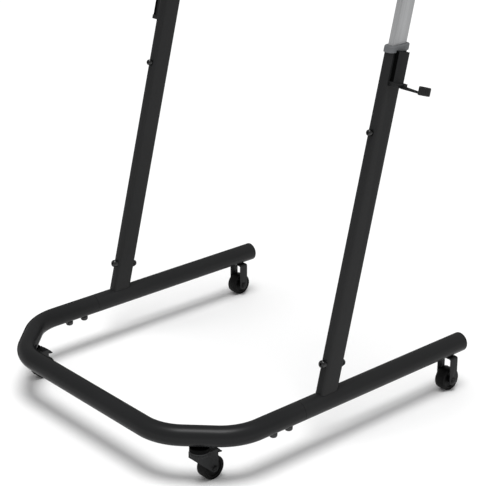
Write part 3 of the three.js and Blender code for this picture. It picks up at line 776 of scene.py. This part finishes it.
head_y = POST_Y + (HEAD_Z - PLATE_T - TUBE_Z) * math.tan(LEAN)
cross_top = HEAD_Z - PLATE_T - 0.3
cross_low = cross_top - CROSSBAR[1]
for side, sign in SIDES:
    place = at(sign * RAIL_X, head_y, HEAD_Z - PLATE_T) @ mirror(sign)
    smooth(f"head_plate_{side}", head_plate(), place, "carriage", "powder_coat")
    for i, b in enumerate(CROSSBAR_BOLT_Y, 1):
        bolt = button_bolt(CROSSBAR_BOLT_HEAD, 3, CROSSBAR[1] + PLATE_T + 0.3, 2.3, 1.8)
        under = at(sign * (RAIL_X - CROSSBAR_INBOARD), head_y + b, cross_low - 0.1) @ FACE_DOWN
        smooth(f"crossbar_bolt_{side}_{i}", bolt, under, "carriage", "black_steel")

half_bar = RAIL_X - 20
levels = [(inset(CROSSBAR, 0.4), -half_bar), (inset(CROSSBAR, 0), 0.4 - half_bar),
          (inset(CROSSBAR, 0), half_bar - 0.4), (inset(CROSSBAR, 0.4), half_bar),
          (inset(CROSSBAR, 2), half_bar), (inset(CROSSBAR, 2), -half_bar)]
middle = at(0, head_y, (cross_low + cross_top) / 2)
smooth("crossbar", moved(stack(levels, closed=True), ALONG_X), middle, "carriage", "powder_coat")


# ---- brake ----
def outboard_corners(near, far, front, rear, radius):
    """A rectangle in plan whose two outboard corners are rounded."""
    points = [(near, front)]
    for cy, start in ((front + radius, 270), (rear - radius, 0)):
        points += [(far - radius + x, cy + y) for x, y in arc(radius, start, start + 90, 6)]
    return points + [(near, rear)]


def housing(side):
    """Folded cover: a wall outboard, turned in at the top, rear and bottom, on a thick ledge."""
    near, far, t = HOUSING_NEAR, HOUSING_OUT[side], HOUSING_WALL
    front, rear = HOUSING_Y
    shell = plate(outboard_corners(near, far, front, rear, 2.4), *HOUSING_S)
    cavity = block(near - 5, far - t, front + t, rear - t, LEDGE_S[1] + t, HOUSING_S[1] - t)
    ledge = plate(outboard_corners(near, LEDGE_OUT, LEDGE_FRONT, rear, 1.4), *LEDGE_S)
    body = boolean(boolean(shell, cavity), ledge, kind="UNION")
    if side == "right":
        low, high = LEVER_Y - LEVER_SLOT, LEVER_Y + LEVER_SLOT
        slot = block(near - 1, 38, low, high, 690, 705.8)
        root = block(near - 1, far - t, low, high, 690, 709.5)
        spring_bay = block(22.8, 31.2, LEVER_Y + 3.4, LEVER_Y + 11, 690, 704.5)
        body = boolean(body, slot, root, spring_bay)
    return bevelled(body, 0.5, 2, 50)


def release_lever():
    """Flat lever: an arm out to the grip and a finger up inside the housing, with the pin hole between."""
    outline = [(13.6, 698), (36, 696), (79, 696.2), (82, 695.6), (108.2, 697.4), (109.5, 698.9),
               (109.3, 711.8), (107.9, 712.9), (82.2, 711.4), (80.8, 710.3), (80.3, 701.2), (55, 702.4),
               (36, 703.6), (17.6, 706), (15.8, 711), (14.5, 730), (14.5, 737.5), (12.9, 737.5), (12.9, 712)]
    pin_hole = [(PIVOT[0] + x, PIVOT[1] + z) for x, z in circle(1.8, 24)]
    return bevelled(plate(fillet(outline, 1.6), -1.5, 1.5, [pin_hole]), 0.35, 2)


def lever_grip():
    """Moulded pad over the lever's end, with five upright ribs on both faces."""
    outline = [(81.2, 694.8), (83, 693.9), (108.8, 695.7), (110.3, 697.4), (110.4, 712.4), (108.8, 714),
               (82.6, 712.6), (81.2, 711.4)]
    grip = bevelled(plate(fillet(outline, 2.2), -3.0, 3.0), 1.1, 4)
    ribs = [bevelled(plate(rounded(1.2, 11.5, 0.58, 4), 2.7, 3.35), 0.2, 2) for _ in range(5)]
    for i, rib in enumerate(ribs):
        moved(rib, shift(86.3 + 4.7 * i, 703.8 + 0.3 * i))
    back_ribs = [moved(rib.copy(), FLIP_Z) for rib in ribs]
    return merge(grip, *ribs, *back_ribs)


def coil(radius, pitch, turns, wire):
    """Round wire wound about Y, centred on the origin."""
    loops = []
    steps = 28 * turns
    for i in range(steps + 1):
        a = 2 * math.pi * turns * i / steps
        out = Vector((math.cos(a), 0, math.sin(a)))
        centre = out * radius + Vector((0, (i / steps - 0.5) * turns * pitch, 0))
        loops.append([centre + out * u + Vector((0, v, 0)) for u, v in circle(wire, 10)])
    return loft(loops)


for side, sign in SIDES:
    post = post_place(sign)
    smooth(f"brake_housing_{side}", housing(side), post, "base", "powder_coat")
    # Painted shade: a thin near-black sheet over part of the housing's front face stands in for the deep
    # shade seen there.
    shade_sheet = bevelled(block(*SHADE_SHEET_SPAN[side], -14.7, -14.3, 707.6, 771.2), 0.15, 2)
    piece(f"housing_shade_sheet_{side}", shade_sheet, post, "base", "black_plastic", look="painted_shadow_black")

right = post_place(1)
lever_plane = shift(y=LEVER_Y) @ ALONG_Y
smooth("release_lever", moved(release_lever(), lever_plane), right, "release_lever", "black_steel")
smooth("lever_grip", moved(lever_grip(), lever_plane), right, "release_lever", "black_plastic")
pin = revolve([[0, -14.6], [1.1, -14.6], [1.5, -14.2], [1.5, 13.2], [1.1, 13.6], [0, 13.6]], 32)
pivot = right @ shift(PIVOT[0], LEVER_Y, PIVOT[1])
smooth("lever_pin", moved(pin, ALONG_Y), pivot, "base", "zinc")
spring_place = right @ shift(PIVOT[0], LEVER_Y + 7.2, PIVOT[1])
smooth("lever_spring", coil(2.6, 1.5, 4, 0.4), spring_place, "base", "zinc")


# ---- casters ----
def wheel(hub):
    """Wheel turned from one half profile: hub, web set back from the rim, groove, and a flat tread."""
    w, r = WHEEL_HALF, WHEEL_R
    half = [(4.3, hub - 0.3), (4.6, hub), (7.4, hub), (7.9, hub - 0.4), (8.3, w - 2.9), (9.4, w - 3.4),
            (r - 9.4, w - 3.4), (r - 8.4, w - 2.8), (r - 7.9, w - 0.9), (r - 7.3, w - 0.4),
            (r - 5.0, w - 0.2), (r - 4.6, w - 0.8), (r - 4.0, w - 0.8), (r - 3.6, w - 0.1),
            (r - 1.6, w), (r - 0.7, w - 0.3), (r - 0.2, w - 0.9), (r, w - 1.7), (r, 0.5), (r - 0.2, 0.25)]
    other = [(a, -b) for a, b in reversed(half)]
    return moved(revolve([*half, *other], 72, closed=True), ALONG_X)


def axle(half):
    """Rivet-headed bolt along X with a hexagon nut on its inboard end."""
    shoulder = half + 0.1
    rod = revolve([[0, -shoulder - 4.6], [3.2, -shoulder - 4.6], [3.9, -shoulder - 4.0], [4, -shoulder],
                   [4, shoulder], [6.3, shoulder], [6.4, shoulder + 0.6], [6.1, shoulder + 1.9],
                   [5.0, shoulder + 3.2], [3.2, shoulder + 4.0], [0, shoulder + 4.3]], 40)
    nut = stack([(hexagon(6.0), -shoulder - 3.6), (hexagon(6.6), -shoulder - 3.1), (hexagon(6.6), -shoulder)])
    return moved(merge(rod, nut), ALONG_X)


def axle_hole():
    return moved(plate(circle(AXLE_HOLE_R, 40), -30, 30), ALONG_X)


def arc_corner(x, z, radius, start, end):
    """Points of a rounded corner whose sharp corner would be at (x, z)."""
    cx, cz = x - math.copysign(radius, x), z - radius
    return [(cx + a, cz + b) for a, b in arc(radius, start, end, 8)]


def rear_fork():
    """A strip bent into an upside-down U with round-ended legs, its boss on top and a rivet below."""
    top, low = TUBE_Z - TUBE_R - 0.3 - WHEEL_R, -14
    half, t, leg, back = REAR_FORK_HALF, FORK_T, REAR_FORK_LEG, REAR_FORK_BACK
    inner = half - t
    strip = [(-half, low), *arc_corner(-half, top, 5.0, 180, 90), *arc_corner(half, top, 5.0, 90, 0)]
    strip += [(half, low), (inner, low), *arc_corner(inner, top - t, 2.5, 0, 90)]
    strip += [*arc_corner(-inner, top - t, 2.5, 90, 180), (-inner, low)]
    shell = moved(plate(strip, -leg, leg), shift(y=back) @ ALONG_Y)
    outline = [(back + y, z) for y, z in arc(leg, 180, 360, 24)]
    outline += [(back + leg, top + 5), (back - leg, top + 5)]
    strap = boolean(shell, moved(plate(outline, -30, 30), ALONG_X), kind="INTERSECT")
    strap = bevelled(boolean(strap, axle_hole()), 0.45, 2, 40)
    boss = revolve([[0, top - 1], [8.5, top - 1], [8.5, top + 1.6], [8.0, top + 2.2], [0, top + 2.2]], 40)
    rivet = revolve([[0, top - 4.6], [3.5, top - 4.6], [5.4, top - 3.6], [6, top - 2.2], [0, top - 2.2]], 40)
    return merge(strap, moved(boss, shift(y=back)), moved(rivet, shift(y=back)))


RACE_TOP = TUBE_Z - TUBE_R - 0.3
FORK_TOP = RACE_TOP - RACE_H - 0.3 - WHEEL_R  # above the axle


def pedal_frame(y, down):
    """A point of the pedal, given from the front bar's axis, in the frame of the front axle."""
    return y - TRAIL - SWIVEL_Y, TUBE_Z - WHEEL_R - down


def front_fork():
    """Cup under the race, a neck narrowing to two side plates, a front wall and the pedal's rivets."""
    half, t, nose = FRONT_FORK_HALF, FORK_T, -TRAIL - FRONT_FORK_NOSE
    low = FORK_TOP - CUP_H
    swivel = shift(y=-TRAIL)
    outline = arc(FRONT_KNEE_R, 222, 360, 16)
    outline += [(FRONT_KNEE_R, FORK_TOP - 1), (nose, FORK_TOP - 1), (nose, FORK_TOP - 15)]
    body = moved(plate(outline, -half, half), ALONG_X)
    neck = revolve([[0, low - 5.4], [19.6, low - 5.4], [20.3, low - 4.8], [CUP_R, low - 0.2],
                    [CUP_R, FORK_TOP - 1], [0, FORK_TOP - 1]], 72)
    body = boolean(body, moved(neck, swivel), kind="UNION")
    channel = block(-half + t, half - t, nose + t, 60, -50, low)
    pedal_bay = block(-half + t, half - t, CUP_R - TRAIL, 60, -50, FORK_TOP + 1)
    body = bevelled(boolean(body, channel, pedal_bay, axle_hole()), 0.6, 3, 40)
    cup = revolve([[0, low], [19.8, low], [21.0, low + 0.4], [CUP_R, low + 1.1], [CUP_R, FORK_TOP - 0.6],
                   [21.0, FORK_TOP], [0, FORK_TOP]], 72)
    whole = boolean(body, moved(cup, swivel), kind="UNION")
    kingpin_hole = plate(circle(KINGPIN_HOLE_R, 40), FORK_TOP - 30, FORK_TOP + 5)
    whole = boolean(whole, moved(kingpin_hole, swivel))
    spot = shift(0, *pedal_frame(*PEDAL_PIN))
    rivets = []
    for way in (-1, 1):
        head = revolve([[0, 15.4], [2.9, 15.4], [2.9, 16.0], [2.1, 16.8], [0, 17.1]], 24)
        rivets.append(moved(head, spot @ mirror(way) @ ALONG_X))
    return merge(whole, *rivets)


def pedal():
    """Brake pedal on its pin, a sloping toe plate with three grip ribs."""
    profile = [(70.6, 44), (72, 46.8), (80, 47), (86, 52.4), (95, 52.2), (98, 48.6), (110.6, 50.6),
               (111.6, 48.6), (98, 37.6), (83.4, 37.6), (82.4, 39.8), (73, 40.4), (71, 41.6)]
    outline = fillet([pedal_frame(y, down) for y, down in profile], 1.2, 4)
    pin_y, pin_z = pedal_frame(*PEDAL_PIN)
    hole = [(pin_y + y, pin_z + z) for y, z in circle(2.3, 24)]
    half = FRONT_FORK_HALF - FORK_T - 0.5
    body = bevelled(moved(plate(outline, -half, half, [hole]), ALONG_X), 0.8, 3, 40)
    fall = 11 / 13.6  # of the toe plate
    ribs = []
    for i in range(3):
        y = 101.5 + 3.0 * i
        rib = bevelled(block(-10, 10, -0.55, 0.55, -0.5, 0.75), 0.3, 2)
        spot = pedal_frame(y, 37.6 + (y - 98) * fall)
        ribs.append(moved(rib, shift(0, *spot) @ turn_x(-math.atan(fall))))
    return merge(body, *ribs)


def race():
    """Fixed upper disc with its stem up into the tube, a ball groove, and the kingpin below."""
    h, r = -RACE_H, RACE_R
    disc = [[0, h - 5.6], [5.0, h - 5.6], [6.3, h - 4.8], [6.5, h - 3.1], [5, h - 3.1], [5, h], [19.8, h],
            [21.0, h + 0.4], [r, h + 1.4], [r, h + 3.4], [21.2, h + 3.9], [21.2, h + 4.5], [r, h + 5.0],
            [r, -1.6], [21.2, -0.6], [19.8, -0.1], [10.0, 0], [9.0, 1.0], [9.0, 6], [5, 9], [5, 12], [0, 12]]
    return revolve(disc, 72)


for side, sign in SIDES:
    place = at(sign * RAIL_X, REAR_AXLE_Y, WHEEL_R) @ mirror(sign)
    smooth(f"rear_fork_{side}", rear_fork(), place, "base", "black_steel", "black_steel_painted_light")
    smooth(f"rear_axle_{side}", axle(REAR_FORK_HALF), place, "base", "black_steel")
    rear_wheel = wheel(REAR_FORK_HALF - FORK_T - 0.5)
    smooth(f"rear_wheel_{side}", rear_wheel, place, f"rear_wheel_{side}", "wheel_black")

for side, sign in SIDES:
    swivel = at(sign * SWIVEL_X, SWIVEL_Y, RACE_TOP)
    # The race takes the darker copy of black steel, painted shade.
    smooth(f"swivel_race_{side}", race(), swivel, "base", "black_steel", "race_black_painted_shade")
    # A ring round the race's lower lip in the lighter copy of black steel, painted light.
    band = revolve([[21.5, 0.1], [22.1, 0.5], [22.1, 3.6], [21.5, 3.8]], 72, closed=True)
    piece(f"race_band_{side}", band, at(sign * SWIVEL_X, SWIVEL_Y, RACE_TOP - RACE_H), "base", "black_steel",
          look="black_steel_painted_light")
    place = at(sign * SWIVEL_X, SWIVEL_Y + TRAIL, WHEEL_R) @ mirror(sign)
    fork = f"front_fork_{side}"
    smooth(fork, front_fork(), place, fork, "black_steel", "black_steel_painted_light")
    smooth(f"front_axle_{side}", axle(FRONT_FORK_HALF), place, fork, "black_steel")
    smooth(f"brake_pedal_{side}", pedal(), place, f"brake_pedal_{side}", "black_steel")
    front_wheel = wheel(FRONT_FORK_HALF - FORK_T - 0.4)
    smooth(f"front_wheel_{side}", front_wheel, place, f"front_wheel_{side}", "wheel_black")

# ---- floor, light and camera ----
FLOOR_REACH = 14.0
floor_mesh = bpy.data.meshes.new("floor")
floor_outline = [(x * FLOOR_REACH, y * FLOOR_REACH, 0) for x, y in ((-1, -1), (1, -1), (1, 1), (-1, 1))]
floor_mesh.from_pydata(floor_outline, [], [(0, 1, 2, 3)])
floor = bpy.data.objects.new("floor", floor_mesh)
floor.location.z = BASE.translation.z
bpy.context.scene.collection.objects.link(floor)
floor_look = Nodes("floor_paint")
floor_mesh.materials.append(floor_look.finish(Base_Color=(0.93, 0.93, 0.93, 1), Roughness=0.6))

world = bpy.data.worlds.new("studio")
world.use_nodes = True
world.node_tree.nodes["Background"].inputs["Color"].default_value = (1, 1, 1, 1)
world.node_tree.nodes["Background"].inputs["Strength"].default_value = 0.5
bpy.context.scene.world = world
bpy.context.scene.view_settings.view_transform = "Standard"

sun = bpy.data.lights.new("overhead", "SUN")
sun.energy = 2.3
sun.angle = math.radians(28)
overhead = bpy.data.objects.new("overhead", sun)
overhead.rotation_mode = "QUATERNION"
overhead.rotation_quaternion = Vector((-0.1, 0.09, -1.0)).to_track_quat("-Z", "Y")
bpy.context.scene.collection.objects.link(overhead)

camera = bpy.data.cameras.new("camera")
camera.lens = 112.33
camera.sensor_width = 36.0
camera.shift_y = -0.1104
camera.clip_end = 60.0
viewer = bpy.data.objects.new("camera", camera)
azimuth, elevation = math.radians(48.583), math.radians(20.045)
outwards = math.cos(elevation)
back = Vector((math.sin(azimuth) * outwards, -math.cos(azimuth) * outwards, math.sin(elevation)))
viewer.location = BASE @ Vector((2447.9, -1705.7, 1662.2))
viewer.rotation_mode = "QUATERNION"
viewer.rotation_quaternion = (-back).to_track_quat("-Z", "Y")
bpy.context.scene.collection.objects.link(viewer)
bpy.context.scene.camera = viewer
